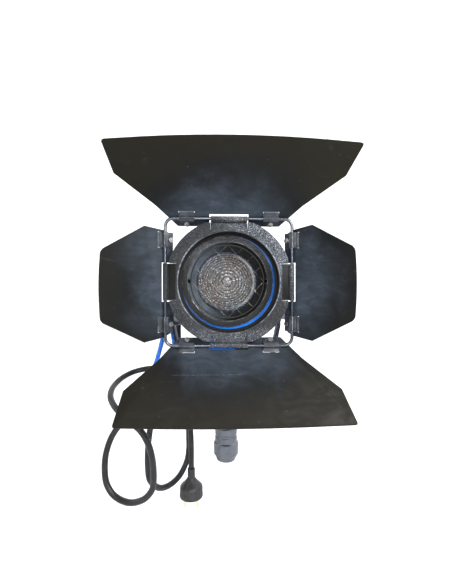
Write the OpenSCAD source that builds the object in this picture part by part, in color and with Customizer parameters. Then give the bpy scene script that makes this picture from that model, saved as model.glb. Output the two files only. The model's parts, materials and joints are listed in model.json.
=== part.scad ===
// Fresnel spotlight on a yoke, with a four-leaf barndoor.
// The origin is the middle of the socket's mouth, +Z is up and the beam leaves along -Y.

/* [Layout] */
// Height of the lens axis above the socket's mouth
axis_z = 257; // [252:1:264]
// Distance from the tilt pivot forward to the front face of the barndoor ring
ring_front = 105; // [105:1:112]
// Drop of the tilt pivot below the lens axis
pivot_drop = 45; // [43:1:47]

/* [Head] */
// Width of the lamp housing
housing_w = 116; // [112:1:118]
// Height of the lamp housing
housing_h = 120; // [116:1:122]
// Thickness of the housing's sheet
sheet = 2; // [1.5:0.25:2.5]
// Radius of the lens
lens_r = 40; // [38:0.5:41]
// Outer radius of the lip at the mouth of the front casting
mouth_r = 57.5; // [57:0.25:57.75]

/* [Barndoor] */
// Outer radius of the ring
ring_r = 75; // [73:0.5:75.5]
// Distance from the lens axis to each hinge rod
rod_offset = 75.2; // [75:0.1:76]
// Radius of the hinge rods
rod_r = 2; // [1.9:0.05:2.1]
// Thickness of the leaves
leaf_t = 1.2; // [1:0.1:1.5]
// Forward tilt of the top leaf from the plane of the ring, in degrees
top_tilt = 35; // [15:1:60]
// Forward tilt of the bottom leaf
bottom_tilt = 25; // [15:1:60]
// Forward tilt of the left leaf
left_tilt = 30; // [15:1:60]
// Forward tilt of the right leaf
right_tilt = 40; // [15:1:60]

/* [Yoke and socket] */
// Width of the yoke's flat bar
bar_w = 25; // [20:1:30]
// Thickness of the yoke's flat bar
bar_t = 3; // [2.5:0.25:4]
// Radius of the socket's bore
socket_r = 8.05; // [8:0.01:8.1]
// Depth of the socket's bore
socket_depth = 40; // [36:1:42]

/* [Cable] */
// Diameter of the mains cable
cable_d = 8.5; // [8:0.5:8.5]
// Diameter of the blue cord sling
sling_d = 6.5; // [6:0.5:6.5]

/* [Hidden] */
$fn = 64;
hull_fn = 32;

blue = "dodgerblue";
black = "#222222";
steel = "silver";
overlap = 0.02;

pivot_z = axis_z - pivot_drop;
pin_gap = 0.05;
part_gap = 0.3;

// Bends in the yoke: half-widths and heights along the middle of the bar
arm_x = 77;
arm_top = pivot_z + 16;
arm_bend = pivot_z - 15;
foot_x = 47;
foot_z = 58;
bar_z = 48;

stud_r = 4;
stud_l = 18;
boss_face = arm_x - bar_t / 2 - part_gap;
boss_r = 15;
focus_x = 18;
focus_drop = 78;
spindle_r = 4;
guide_x = 26;
guide_drop = 44;
guide_r = 3;

housing_front = 60;
housing_back = -75;
back_end = -95;
corner_r = 30;
box_w = 80;
box_bottom = -92;
box_front = 55;
box_back = -70;

door_back = housing_front + part_gap;
door_plate_t = 5;
mouth_front = ring_front - 21;
mouth_wall = 3.7;
// The lens assembly sits a little off centre in the casting
seat_x = -1.1;
seat_y = 1.4;
lens_front = 67;
lens_back = 60.5;
lens_steps = 9;
hinge_x = housing_w / 2 + 5;
hinge_pin_r = 2;
latch_y = 68.5;
latch_z = mouth_front - 7;

flange_back = ring_front - 17;
flange_front = flange_back + 2;
flange_r = 65;
bracket_r = 67;

// Where the cable leaves the left wall, pointing down and a little outwards
gland_x = -66;
gland_y = 62;
gland_z = 246;
gland_turn = 15;
gland_l = 26;

rod_front = ring_front - 4.5;
frame_corner_r = 9.5;
knuckle_r = rod_r + 0.9;
plate_t = 1.5;
inner_r = 61;
tab_w = 43.5;
tab_window_w = 43.8;
leaf_gap = 0.4;

// Each leaf's corners: distance out from the hinge rod, half-width, and sideways lean from handling
inner_margin = 11;
top_shape = [[-inner_margin, 61, 0], [15, 86, 0], [51, 129, 1.2], [86, 139.5, 3.5]];
bottom_shape = [[-inner_margin, 61, -1.5], [15, 84, -2.5], [51, 124, -4.4], [90, 134.6, -6.6]];
left_shape = [[-inner_margin, 55, 0], [-7, 60, -1.5], [0, 63.5, -2], [24.5, 67.3, -2.7], [73.5, 39, -5.2]];
right_shape = [[-inner_margin, 55, 0], [-7, 60, 0.5], [0, 63.5, 0.8], [24.5, 67.3, 1.1], [73.5, 39, 2.6]];
notch_half = 23.2;
wide_notch = 4.4;
side_notch = 3.2;
clip_at = 50;
clip_w = 18;
slot_at = 6.6;
slot_w = 2.1;
top_rise = 6;
bottom_rise = 2.5;
side_rise = 1.5;

// Middle of the mains cable, from the gland to the plug
cable_route = [
    [-72.8, 62, 220.5], [-74.4, 62, 214.5], [-76, 62, 198], [-76, 61, 178], [-75, 60, 155],
    [-72, 58, 128], [-68, 54, 98], [-63, 50, 66], [-59, 46, 38], [-58, 42, 14],
    [-58, 42, -4], [-61, 38, -22], [-71, 26, -38], [-84, 10, -43], [-97, -6, -38], [-107, -18, -22],
    [-110, -22, -4], [-110, -22, 28], [-106, -19, 62], [-100, -12, 90], [-94, 0, 110],
    [-92, 17, 119], [-97, 36, 122], [-110, 49, 123], [-128, 54, 121], [-147, 50, 117],
    [-160, 36, 112], [-166, 17, 107], [-166, -4, 103], [-161, -24, 97], [-149, -41, 89],
    [-132, -51, 78], [-114, -54, 64], [-104, -52, 45], [-99, -49, 22], [-98, -47, -3],
    [-101, -44, -20], [-113, -41, -34], [-133, -37, -40], [-153, -32, -34], [-165, -28, -20],
    [-169, -25, -2], [-168, -23, 20], [-161, -22, 42], [-149, -25, 60], [-135, -30, 73],
    [-121, -34, 82], [-105, -33, 90], [-92, -24, 97], [-84, -9, 103], [-79, 7, 104],
    [-73, 21, 98], [-66, 31, 86], [-60, 36, 69], [-56, 35, 49], [-54, 32, 26],
    [-53, 30, 2], [-53, 30, -28]
];

// Middle of the blue cord, round the tilt knob's neck and the cable
sling_route = [
    [-79, 5, 90], [-71, 4, 95], [-67, 5, 108], [-70, 8, 131], [-75, 10, 155], [-79, 12, 178],
    [-83, 13.2, 198], [-84.5, 13.8, 212], [-84.5, 9.8, 222], [-84.5, 0, 226], [-84.5, -9.8, 222],
    [-85, -13.8, 212], [-87, -14.4, 196], [-91, -14, 178], [-97, -12, 156], [-104, -7, 134],
    [-107, -1, 115], [-103, 4, 99], [-92, 6, 90]
];

// Frame of the lamp head: x to the right, y up, z forward along the beam, from the lens axis
module head_frame() {
    translate([0, 0, axis_z]) rotate([90, 0, 0]) children();
}

module rounded_rect(w, h, r) {
    square([w - 2 * r, h], center = true);
    square([w, h - 2 * r], center = true);
    for (x = [-1, 1], y = [-1, 1])
        translate([x * (w / 2 - r), y * (h / 2 - r)]) circle(r);
}

module tube_between(z0, z1, r_out, r_in) {
    translate([0, 0, z0]) difference() {
        cylinder(h = z1 - z0, r = r_out);
        translate([0, 0, -1]) cylinder(h = z1 - z0 + 2, r = r_in);
    }
}

// Solid block with the housing's outer shape
module housing_prism() {
    translate([0, 0, housing_back]) linear_extrude(housing_front - housing_back)
        rounded_rect(housing_w, housing_h, corner_r);
}

// Fluted grip: a drum with scallops cut from its rim
module fluted_knob(h, r, flutes) {
    difference() {
        cylinder(h = h, r = r);
        for (i = [0:flutes - 1])
            rotate([0, 0, i * 360 / flutes]) translate([r + 1.6, 0, -1]) cylinder(h = h + 2, r = 3, $fn = 24);
    }
}

// ---------------------------------------------------------------- socket and yoke

module receiver() {
    neck_r = 16.2;
    collar_r = 18;
    color(steel) difference() {
        rotate_extrude() polygon([
            [0, 0], [13.5, 0], [16.5, 7], [collar_r - 1, 8], [collar_r, 9], [collar_r, 25],
            [collar_r - 1, 26], [neck_r, 27], [neck_r, 34], [neck_r - 0.8, 35], [neck_r - 0.8, 37],
            [neck_r, 38], [neck_r, bar_z - 1], [neck_r - 1, bar_z], [0, bar_z]
        ]);
        translate([0, 0, -1]) cylinder(h = socket_depth + 1, r = socket_r);
        translate([0, 0, socket_depth - 1]) cylinder(h = bar_z, r = 5);
        translate([0, 5, 17]) rotate([-90, 0, 0]) cylinder(h = 20, r = 4 + pin_gap);
    }
}

module receiver_bolt() {
    head_h = 6;
    color(black) {
        translate([0, 0, socket_depth + 0.5]) cylinder(h = bar_z + bar_t - socket_depth - 0.5 + overlap, r = 5);
        translate([0, 0, bar_z + bar_t]) difference() {
            union() {
                cylinder(h = 1.6, r = 11);
                cylinder(h = head_h + 1.6, r = 8.5);
            }
            translate([0, 0, 4]) cylinder(h = head_h, r = 4.6, $fn = 6);
        }
    }
}

module receiver_screw() {
    tip_y = 8.6;
    knob_y = 21;
    color(black) translate([0, 0, 17]) rotate([-90, 0, 0]) {
        translate([0, 0, tip_y]) cylinder(h = knob_y - tip_y + overlap, r = 4);
        translate([0, 0, knob_y]) cylinder(h = 4 + overlap, r = 7);
        translate([0, 0, knob_y + 4]) fluted_knob(14, 13, 8);
    }
}

// Outline of the yoke, seen from the front
module yoke_outline(offset_out) {
    polygon([
        [-arm_x - offset_out, arm_top], [-arm_x - offset_out, arm_bend - offset_out * 0.1],
        [-foot_x - 3 - offset_out, foot_z + 2], [-foot_x - offset_out * 0.8, foot_z - 4 - offset_out * 0.5],
        [-foot_x + 6, bar_z + bar_t / 2 - offset_out],
        [foot_x - 6, bar_z + bar_t / 2 - offset_out],
        [foot_x + offset_out * 0.8, foot_z - 4 - offset_out * 0.5], [foot_x + 3 + offset_out, foot_z + 2],
        [arm_x + offset_out, arm_bend - offset_out * 0.1], [arm_x + offset_out, arm_top]
    ]);
}

module yoke() {
    half = bar_t / 2;
    lanyard_x = 30;
    color(black) difference() {
        union() {
            translate([0, bar_w / 2, 0]) rotate([90, 0, 0]) linear_extrude(bar_w) difference() {
                yoke_outline(half);
                yoke_outline(-half);
                translate([-arm_x + half, arm_top - 1]) square([2 * arm_x - bar_t, 2]);
            }
            for (side = [-1, 1])
                translate([side * arm_x - half, 0, arm_top]) rotate([0, 90, 0]) cylinder(h = bar_t, r = bar_w / 2);
        }
        for (side = [-1, 1])
            translate([side * arm_x - bar_t, 0, pivot_z]) rotate([0, 90, 0])
                cylinder(h = 2 * bar_t, r = stud_r + pin_gap);
        translate([0, 0, bar_z - 1]) cylinder(h = bar_t + 2, r = 5);
        translate([lanyard_x, 0, bar_z - 1]) cylinder(h = bar_t + 2, r = 4.5);
    }
}

module tilt_knob() {
    arm_face = arm_x + bar_t / 2;
    neck = 12;
    neck_r = 9;
    color(black) translate([0, 0, pivot_z]) rotate([0, -90, 0]) difference() {
        union() {
            translate([0, 0, arm_face + part_gap]) cylinder(h = 1.7 + overlap, r = 11);
            translate([0, 0, arm_face + 2]) cylinder(h = neck + overlap, r = neck_r);
            translate([0, 0, arm_face + 2 + neck]) fluted_knob(16, 17, 7);
        }
        translate([0, 0, arm_face - 1]) cylinder(h = 22, r = stud_r + pin_gap);
    }
}

// ---------------------------------------------------------------- head

module housing() {
    slot_w = 3;
    color("#8a8f96") head_frame() difference() {
        translate([0, 0, housing_back]) linear_extrude(housing_front - housing_back) difference() {
            rounded_rect(housing_w, housing_h, corner_r);
            rounded_rect(housing_w - 2 * sheet, housing_h - 2 * sheet, corner_r - sheet);
        }
        for (i = [-4:4]) {
            translate([-22, housing_h / 2 - 5, i * 12 - 8]) cube([44, 10, slot_w]);
            for (side = [-1, 1])
                translate([side * housing_w / 2 - 5, -6, i * 12 - 8]) cube([10, 34, slot_w]);
        }
        translate([focus_x - 9, -housing_h / 2 - 5, -35]) cube([18, 10, 68]);
    }
}

module vent_cover() {
    top = housing_h / 2;
    color(blue) head_frame() {
        for (z = [-56, 44])
            translate([-24, top, z]) cube([48, 4 + overlap, 6]);
        difference() {
            translate([0, top + 4, -62]) linear_extrude(118) polygon([
                [-34, -2], [-28, 0], [28, 0], [34, -2], [34, 0.5], [28, 2.5], [-28, 2.5], [-34, 0.5]
            ]);
            for (i = [-3:3])
                translate([-20, top + 3, i * 13 - 5]) cube([40, 5, 4]);
        }
    }
}

module rear_shell(inset) {
    hull() {
        translate([0, 0, housing_back - overlap]) linear_extrude(1)
            rounded_rect(housing_w + 2 - 2 * inset, housing_h + 2 - 2 * inset, corner_r - inset, $fn = hull_fn);
        translate([0, 0, back_end + inset]) linear_extrude(1)
            rounded_rect(housing_w - 22 - 2 * inset, housing_h - 22 - 2 * inset, corner_r - 8 - inset, $fn = hull_fn);
    }
}

module rear_casting() {
    color(blue) head_frame() difference() {
        translate([0, 0, -1]) rear_shell(0);
        translate([0, 0, -0.5]) rear_shell(3);
        for (i = [-3:3])
            translate([-22, i * 9 - 1.5, back_end - 5]) cube([44, 3, 10]);
    }
}

module base_box() {
    wall = 2.5;
    depth = box_front - box_back;
    color(blue) head_frame() difference() {
        translate([-box_w / 2, box_bottom, box_back]) cube([box_w, -housing_h / 2 - box_bottom + 8, depth]);
        housing_prism();
        translate([-box_w / 2 + wall, box_bottom + wall, box_back + wall])
            cube([box_w - 2 * wall, 60, depth - 2 * wall]);
        translate([focus_x, -focus_drop, box_back - 1]) cylinder(h = depth + 2, r = spindle_r + pin_gap);
        for (side = [-1, 1])
            translate([side * (box_w / 2 + 3), box_bottom - 3, 0]) rotate([0, 0, 45])
                cube([14, 14, 2 * depth], center = true);
        for (i = [-3:3])
            translate([-28, box_bottom - 1, i * 13 - 8]) cube([26, 5, 4]);
    }
}

module housing_screws() {
    color(steel) head_frame() for (side = [-1, 1], y = [-26, 26], z = [-66, 52])
        translate([side * housing_w / 2, y, z]) rotate([0, side * 90, 0]) {
            cylinder(h = 1, r = 3.2);
            translate([0, 0, 1 - overlap]) cylinder(h = 1.2, r = 2.4);
        }
}

module pivot_bosses() {
    root_x = housing_w / 2 - 12;
    color(steel) difference() {
        translate([0, 0, pivot_z]) for (side = [-1, 1]) rotate([0, side * 90, 0]) {
            translate([0, 0, root_x]) cylinder(h = boss_face - root_x, r = boss_r);
            translate([0, 0, boss_face - overlap]) cylinder(h = stud_l + overlap, r = stud_r);
        }
        head_frame() housing_prism();
    }
}

module pivot_nut() {
    face = arm_x + bar_t / 2 + part_gap;
    color(steel) translate([face, 0, pivot_z]) rotate([0, 90, 0]) difference() {
        union() {
            cylinder(h = 1.6, r = 11);
            cylinder(h = 9, r = 7.5, $fn = 6);
            cylinder(h = 17, r = 6);
        }
        translate([0, 0, boss_face - face]) cylinder(h = stud_l, r = stud_r);
    }
}

module gland_at() {
    translate([gland_x, gland_y, gland_z]) rotate([0, 180 + gland_turn, 0]) children();
}

module gland_boss() {
    wall_x = -housing_w / 2;
    rise = tan(gland_turn);
    color(blue) translate([0, gland_y + 12, 0]) rotate([90, 0, 0]) linear_extrude(24) polygon([
        [wall_x, gland_z + 22], [wall_x - 4, gland_z + 22],
        [gland_x - 10, gland_z + 8], [gland_x - 10, gland_z + 10 * rise],
        [wall_x, gland_z - (wall_x - gland_x) * rise]
    ]);
}

module cable_gland() {
    color(black) gland_at() rotate_extrude() polygon([
        [0, 0], [7.8, 0], [7.8, 6], [7, 8], [6.6, 9], [cable_d / 2 + 0.7, gland_l], [0, gland_l]
    ]);
}

module guide_rods() {
    post_w = 4;
    floor_y = -housing_h / 2 + sheet;
    color(steel) head_frame() for (side = [-1, 1]) {
        translate([side * guide_x, -guide_drop, housing_back]) cylinder(h = housing_front - housing_back, r = guide_r);
        for (z = [housing_back, housing_front - post_w])
            translate([side * guide_x - post_w / 2, floor_y, z]) cube([post_w, -guide_drop - floor_y, post_w]);
    }
}

// ---------------------------------------------------------------- lamp carriage and focus drive

module lamp_carriage() {
    plate_y = -guide_drop - 1.5;
    color("#9a9a9a") head_frame() difference() {
        union() {
            translate([-36, plate_y, -28]) cube([72, 3, 44]);
            for (side = [-1, 1])
                translate([side * guide_x, -guide_drop, -28]) cylinder(h = 44, r = guide_r + 3);
            translate([focus_x - 6, -focus_drop, -12]) cube([12, focus_drop + plate_y + overlap, 12]);
            translate([focus_x, -focus_drop, -12]) cylinder(h = 12, r = 9);
        }
        for (side = [-1, 1])
            translate([side * guide_x, -guide_drop, -40]) cylinder(h = 80, r = guide_r + pin_gap);
        translate([focus_x, -focus_drop, -40]) cylinder(h = 80, r = spindle_r + pin_gap);
    }
}

module lamp_socket() {
    color("ivory") head_frame() translate([0, -guide_drop + 1.5, -4]) rotate([-90, 0, 0]) difference() {
        union() {
            cylinder(h = 16, r = 11);
            cylinder(h = 4, r = 15);
        }
        for (x = [-1, 1])
            translate([x * 3.2, 0, 8]) cylinder(h = 10, r = 1.4);
    }
}

module lamp() {
    base_y = -guide_drop + 17.5;
    color("lightcyan") head_frame() translate([0, base_y, -4]) rotate([-90, 0, 0]) {
        for (x = [-1, 1])
            translate([x * 3.2, 0, -7]) cylinder(h = 7 + overlap, r = 1.2);
        translate([-6, -2.5, 0]) cube([12, 5, 9 + overlap]);
        translate([0, 0, 9]) cylinder(h = 26, r = 6.5);
        translate([0, 0, 35]) sphere(6.5);
    }
}

module reflector() {
    bowl_r = 30;
    half_angle = 62;
    color("gainsboro") head_frame() {
        translate([0, 0, -4]) rotate([180, 0, 0]) rotate_extrude() difference() {
            intersection() {
                circle(bowl_r + 1.4);
                polygon([[0, 0], [60 * tan(half_angle), 60], [0, 60]]);
            }
            circle(bowl_r);
        }
        translate([-6, -guide_drop + 1.5, -28]) cube([12, 22, 1.5]);
    }
}

module focus_spindle() {
    color(steel) head_frame() translate([focus_x, -focus_drop, box_back - 16])
        cylinder(h = box_front - box_back + 32, r = spindle_r);
}

module focus_knob_front() {
    color(black) head_frame() translate([focus_x, -focus_drop, box_front + part_gap]) difference() {
        union() {
            cylinder(h = 3, r = 8);
            translate([0, 0, 3 - overlap]) fluted_knob(14, 12, 10);
        }
        translate([0, 0, -1]) cylinder(h = 17 - part_gap, r = spindle_r);
    }
}

module focus_knob_rear() {
    color(black) head_frame() translate([focus_x, -focus_drop, box_back - part_gap]) rotate([180, 0, 0]) difference() {
        union() {
            cylinder(h = 3, r = 8);
            translate([0, 0, 3 - overlap]) fluted_knob(15, 14, 12);
        }
        translate([0, 0, -1]) cylinder(h = 17 - part_gap, r = spindle_r);
    }
}

// ---------------------------------------------------------------- lens door

module front_casting() {
    color(blue) head_frame() {
        translate([0, 0, door_back]) linear_extrude(door_plate_t) difference() {
            rounded_rect(housing_w + 2, housing_h + 2, corner_r);
            circle(lens_r + 7);
        }
        tube_between(door_back + door_plate_t - overlap, mouth_front, mouth_r, mouth_r - mouth_wall);
    }
}

// Black ring and baffle cone that hold the lens
module lens_ring() {
    rim_r = mouth_r - mouth_wall - 2.6;
    lip_r = mouth_r - 1.35;
    lip_front = mouth_front + 2;
    cone_r = lens_r + 8.4;
    plate_front = door_back + door_plate_t;
    color(black) head_frame() translate([seat_x, seat_y, 0]) difference() {
        union() {
            rotate_extrude() polygon([
                [lens_r + 1.5, door_back], [lens_r + 5, door_back], [lens_r + 5, plate_front],
                [lens_r + 10, plate_front], [rim_r, mouth_front - 6], [rim_r, mouth_front],
                [lip_r, mouth_front], [lip_r, lip_front - 0.6], [lip_r - 0.6, lip_front],
                [cone_r + 0.5, lip_front], [cone_r, lip_front - 0.6],
                [lens_r - 1, lens_front + 2], [lens_r - 1, lens_front + 0.2], [lens_r + 1.5, lens_front + 0.2]
            ]);
            translate([-9, cone_r - 1.4, lip_front - 4]) cube([18, 3, 3.6]);
        }
        for (side = [-1, 1])
            translate([side * (cone_r - 0.8), 0, lip_front - 5]) linear_extrude(8)
                polygon([[-1.9, 0], [0, -3.4], [1.9, 0], [0, 3.4]]);
    }
}

// Stepped collecting face: each zone repeats the slope of a thick lens at its own radius
function zone_r(i) = lens_r * sqrt(i / lens_steps);
function zone_slope(r) = 0.9 * r / lens_r;

module lens() {
    profile = [for (i = [1:lens_steps]) each [
        [zone_r(i - 1), lens_front],
        [zone_r(i), lens_front - zone_slope(zone_r(i)) * (zone_r(i) - zone_r(i - 1))]
    ]];
    color("#9fa6a8") head_frame() translate([seat_x, seat_y, 0])
        rotate_extrude() polygon(concat(profile, [[lens_r, lens_back], [0, lens_back]]));
}

module lens_clips() {
    color(steel) head_frame() translate([seat_x, seat_y, 0]) for (a = [30:120:359]) rotate([0, 0, a])
        translate([lens_r - 4, -4, door_back - 1.5]) {
            cube([8.5, 8, 1.5]);
            translate([6.5, 4, -1.2]) cylinder(h = 1.2 + overlap, r = 1.8);
        }
}

module wire_guard() {
    wire = 0.8;
    pitch = 16;
    guard_front = mouth_front - 2;
    guard_r = lens_r + 5.6;
    color("#404040") head_frame() translate([seat_x, seat_y, 0]) {
        tube_between(guard_front - 1.2, guard_front + 0.6, guard_r, guard_r - 1.4);
        for (layer = [0, 1])
            translate([0, 0, guard_front - 1 + layer * wire]) linear_extrude(wire) intersection() {
                circle(guard_r - 1);
                rotate(45 + 90 * layer) for (i = [-2:2])
                    translate([i * pitch - wire / 2, -guard_r]) square([wire, 2 * guard_r]);
            }
    }
}

// U-shaped pockets that hold the rim of the barndoor's flange
module accessory_brackets() {
    half = 20;
    plate_front = door_back + door_plate_t;
    color(black) head_frame() for (a = [0, 180, 270]) rotate([0, 0, a - half]) rotate_extrude(angle = 2 * half) polygon([
        [mouth_r + 0.1, plate_front], [62, plate_front], [62, mouth_front], [bracket_r, mouth_front],
        [bracket_r, flange_front + 2], [62.4, flange_front + 2], [62.4, flange_front + part_gap],
        [flange_r + part_gap, flange_front + part_gap], [flange_r + part_gap, flange_back - part_gap],
        [mouth_r + 0.1, flange_back - part_gap]
    ]);
}

// Half of the door hinge that is fixed to the housing's right wall
module door_knuckles() {
    color(black) head_frame() difference() {
        union() {
            for (y = [-22, 12]) {
                translate([hinge_x, y, door_back]) rotate([-90, 0, 0]) cylinder(h = 10, r = 3.6);
                translate([housing_w / 2, y, door_back - 14]) cube([1.6, 10, 12]);
                translate([housing_w / 2, y, door_back - 3.6]) cube([hinge_x - housing_w / 2, 10, 3]);
            }
        }
        translate([hinge_x, -40, door_back]) rotate([-90, 0, 0]) cylinder(h = 80, r = hinge_pin_r + pin_gap);
        translate([housing_w / 2 - 20, -40, door_back - part_gap]) cube([20 + 1.3, 80, 10]);
    }
}

// Pin and knuckles that turn with the front casting
module door_hinge() {
    color(black) head_frame() {
        translate([hinge_x, -23.5, door_back]) rotate([-90, 0, 0]) cylinder(h = 47, r = hinge_pin_r);
        translate([hinge_x, -11.5, door_back]) rotate([-90, 0, 0]) cylinder(h = 23, r = 4);
        translate([housing_w / 2 + 1, -11.5, door_back]) cube([hinge_x - housing_w / 2 - 1, 23, door_plate_t]);
    }
}

module latch_mount() {
    foot_y = housing_h / 2 + 1;
    color(black) head_frame() translate([-9, 0, 0]) difference() {
        union() {
            translate([0, foot_y, door_back + 1]) cube([18, 4, latch_z + 4 - door_back - 1]);
            for (x = [0, 15])
                translate([x, foot_y + 4 - overlap, latch_z - 4]) cube([3, latch_y - foot_y - 1, 8]);
        }
        translate([-1, latch_y, latch_z]) rotate([0, 90, 0]) cylinder(h = 20, r = 1.5 + pin_gap);
    }
}

module accessory_latch() {
    half = 5.6;
    hook_y = 62.5;
    hook_z = flange_front + part_gap;
    color(steel) head_frame() {
        translate([-9.5, latch_y, latch_z]) rotate([0, 90, 0]) cylinder(h = 19, r = 1.5);
        translate([-half, latch_y - 1.2, latch_z]) cube([2 * half, 2.4, hook_z + 1.2 - latch_z]);
        translate([-half, hook_y, hook_z]) cube([2 * half, latch_y + 1.2 - hook_y, 1.2]);
        translate([-half, latch_y + 1.2 - overlap, latch_z - 10]) cube([2 * half, 1.6, 16]);
    }
}

// ---------------------------------------------------------------- barndoor

module barndoor_ring() {
    color(black) head_frame() {
        translate([0, 0, ring_front - plate_t]) linear_extrude(plate_t) difference() {
            circle(ring_r);
            circle(inner_r - 1);
            for (a = [0:90:359]) rotate(a) {
                translate([-tab_window_w / 2, inner_r + 0.4]) square([tab_window_w, 20]);
                translate([-40, ring_r - 5.3]) square([80, 20]);
            }
        }
        for (a = [0:90:359]) rotate([0, 0, a])
            translate([-tab_w / 2, 0, 0]) rotate([90, 0, 90]) linear_extrude(tab_w) difference() {
                union() {
                    polygon([
                        [inner_r, ring_front - plate_t], [inner_r + 0.2, ring_front - plate_t],
                        [rod_offset - 0.8, rod_front - knuckle_r + 0.2], [rod_offset - 1.6, rod_front - 1.6],
                        [inner_r + 0.6, ring_front], [inner_r, ring_front]
                    ]);
                    translate([rod_offset, rod_front]) circle(knuckle_r);
                }
                translate([rod_offset, rod_front]) circle(rod_r);
            }
    }
}

// Turned collar behind the ring, with the flange that the brackets hold and a lip over the casting's mouth
module barndoor_collar() {
    collar_out = inner_r + 0.2;
    color(black) head_frame() {
        tube_between(flange_back, ring_front - plate_t, collar_out, collar_out - 1.2);
        tube_between(flange_back, flange_front, flange_r, collar_out - overlap);
        tube_between(flange_back, flange_back + 1.4, collar_out - 1, mouth_r - 0.4);
    }
}

module wire_frame() {
    straight = rod_offset - frame_corner_r;
    color(steel) head_frame() translate([0, 0, rod_front]) for (a = [0:90:359]) rotate([0, 0, a]) {
        translate([rod_offset, straight, 0]) rotate([90, 0, 0]) cylinder(h = 2 * straight, r = rod_r);
        translate([straight, straight, 0]) rotate_extrude(angle = 90)
            translate([frame_corner_r, 0]) circle(rod_r);
    }
}

// Corner of a leaf on one side, from its row in the shape list
function corner_at(row, side) = [row[2] + side * row[1], row[0]];

// Rounded outer corner on one side, from the straight edge to the bow
function outer_corner(last, near, side, rise) =
    let (radius = 3, end = corner_at(last, side), edge = end - corner_at(near, side))
    [end - edge / edge[1] * radius, end - [side * radius * 0.4, radius * 0.25],
     end - [side * radius * 1.2, -rise * 0.05]];

// Bowed outer edge: a flat arc between the two outer corners
function bow(last, rise, steps) = [for (i = [1:steps - 1])
    let (u = 2 * i / steps - 1) [last[2] - u * (last[1] - 3), last[0] + rise * (1 - u * u)]];

module leaf_outline(shape, rise, notch) {
    count = len(shape);
    last = shape[count - 1];
    near = shape[count - 2];
    left_corner = outer_corner(last, near, -1, rise);
    difference() {
        polygon(concat(
            [for (i = [0:count - 2]) corner_at(shape[i], 1)],
            outer_corner(last, near, 1, rise),
            bow(last, rise, 14),
            [left_corner[2], left_corner[1], left_corner[0]],
            [for (i = [count - 2:-1:0]) corner_at(shape[i], -1)]
        ));
        translate([-notch_half, -inner_margin - 1]) square([2 * notch_half, inner_margin + 1 + notch]);
        for (x = [-clip_at, clip_at])
            translate([x - clip_w / 2 - 0.5, slot_at - 0.8]) square([clip_w + 1, slot_w]);
    }
}

// Frame of one leaf: x along the rod, y out along the leaf, z out of its front face
module leaf_frame(turn, tilt) {
    head_frame() rotate([0, 0, turn]) translate([0, rod_offset, rod_front]) rotate([tilt, 0, 0]) children();
}

module leaf(shape, rise, notch) {
    face = -rod_r - leaf_gap;
    color(black) difference() {
        translate([0, 0, face - leaf_t]) linear_extrude(leaf_t) leaf_outline(shape, rise, notch);
        for (x = [-clip_at, clip_at])
            translate([x, -inner_margin + 3.2, face - leaf_t - 1]) cylinder(h = leaf_t + 2, r = 1.5);
    }
}

module clips() {
    face = -rod_r - leaf_gap;
    t = 1.1;
    bore = rod_r + 0.08;
    color("#333333") for (x = [-clip_at, clip_at])
        translate([x - clip_w / 2, 0, 0]) difference() {
            rotate([90, 0, 90]) linear_extrude(clip_w) {
                difference() {
                    polygon([
                        [-bore - 1.6, face], [-bore - 0.5, bore + t - 0.4], [-bore, bore + t],
                        [bore, bore + t], [bore + 0.5, bore + t - 0.4], [bore + 1.6, face]
                    ]);
                    circle(bore);
                    translate([-bore, face - 1]) square([2 * bore, -face + 1]);
                }
                translate([-inner_margin + 0.4, face]) square([inner_margin - 0.4 - bore - 0.1, t]);
                translate([bore + 0.1, face]) square([slot_at + t / 2 - bore - 0.1, t]);
                translate([slot_at - t / 2, face - leaf_t - 0.8]) square([t, leaf_t + 0.8 + t]);
            }
            translate([clip_w / 2, -inner_margin + 3.2, face - 1]) cylinder(h = 5, r = 1.5);
        }
}

module clip_screws() {
    face = -rod_r - leaf_gap;
    t = 1.1;
    color(steel) for (x = [-clip_at, clip_at]) translate([x, -inner_margin + 3.2, 0]) {
        translate([0, 0, face - leaf_t - 4]) cylinder(h = leaf_t + 4 + t + overlap, r = 1.5);
        translate([0, 0, face + t]) difference() {
            union() {
                cylinder(h = 1.3, r = 3);
                cylinder(h = 1.9, r = 2.2);
            }
            translate([-2, -0.4, 1.1]) cube([4, 0.8, 2]);
        }
        translate([0, 0, face - leaf_t - 2.4]) difference() {
            cylinder(h = 2.4, r = 3.1, $fn = 6);
            translate([0, 0, -1]) cylinder(h = 5, r = 1.5);
        }
    }
}

module leaf_top() {
    leaf_frame(0, top_tilt) leaf(top_shape, top_rise, wide_notch);
}

module leaf_top_clips() {
    leaf_frame(0, top_tilt) clips();
}

module leaf_top_screws() {
    leaf_frame(0, top_tilt) clip_screws();
}

module leaf_bottom() {
    leaf_frame(180, bottom_tilt) leaf(bottom_shape, bottom_rise, wide_notch);
}

module leaf_bottom_clips() {
    leaf_frame(180, bottom_tilt) clips();
}

module leaf_bottom_screws() {
    leaf_frame(180, bottom_tilt) clip_screws();
}

module leaf_left() {
    leaf_frame(90, left_tilt) leaf(left_shape, side_rise, side_notch);
}

module leaf_left_clips() {
    leaf_frame(90, left_tilt) clips();
}

module leaf_left_screws() {
    leaf_frame(90, left_tilt) clip_screws();
}

module leaf_right() {
    leaf_frame(-90, right_tilt) leaf(right_shape, side_rise, side_notch);
}

module leaf_right_clips() {
    leaf_frame(-90, right_tilt) clips();
}

module leaf_right_screws() {
    leaf_frame(-90, right_tilt) clip_screws();
}

// ---------------------------------------------------------------- cable and sling

function cross_unit(a, b) = let (c = cross(a, b)) c / norm(c);

// Side direction carried along the curve, so the rings don't twist
function carried(line, i, last) =
    i >= len(line) - 1 ? [] :
    let (t = line[i + 1] - line[i], side = last - t * (last * t) / (t * t), n = side / norm(side))
    concat([n], carried(line, i + 1, n));

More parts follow.
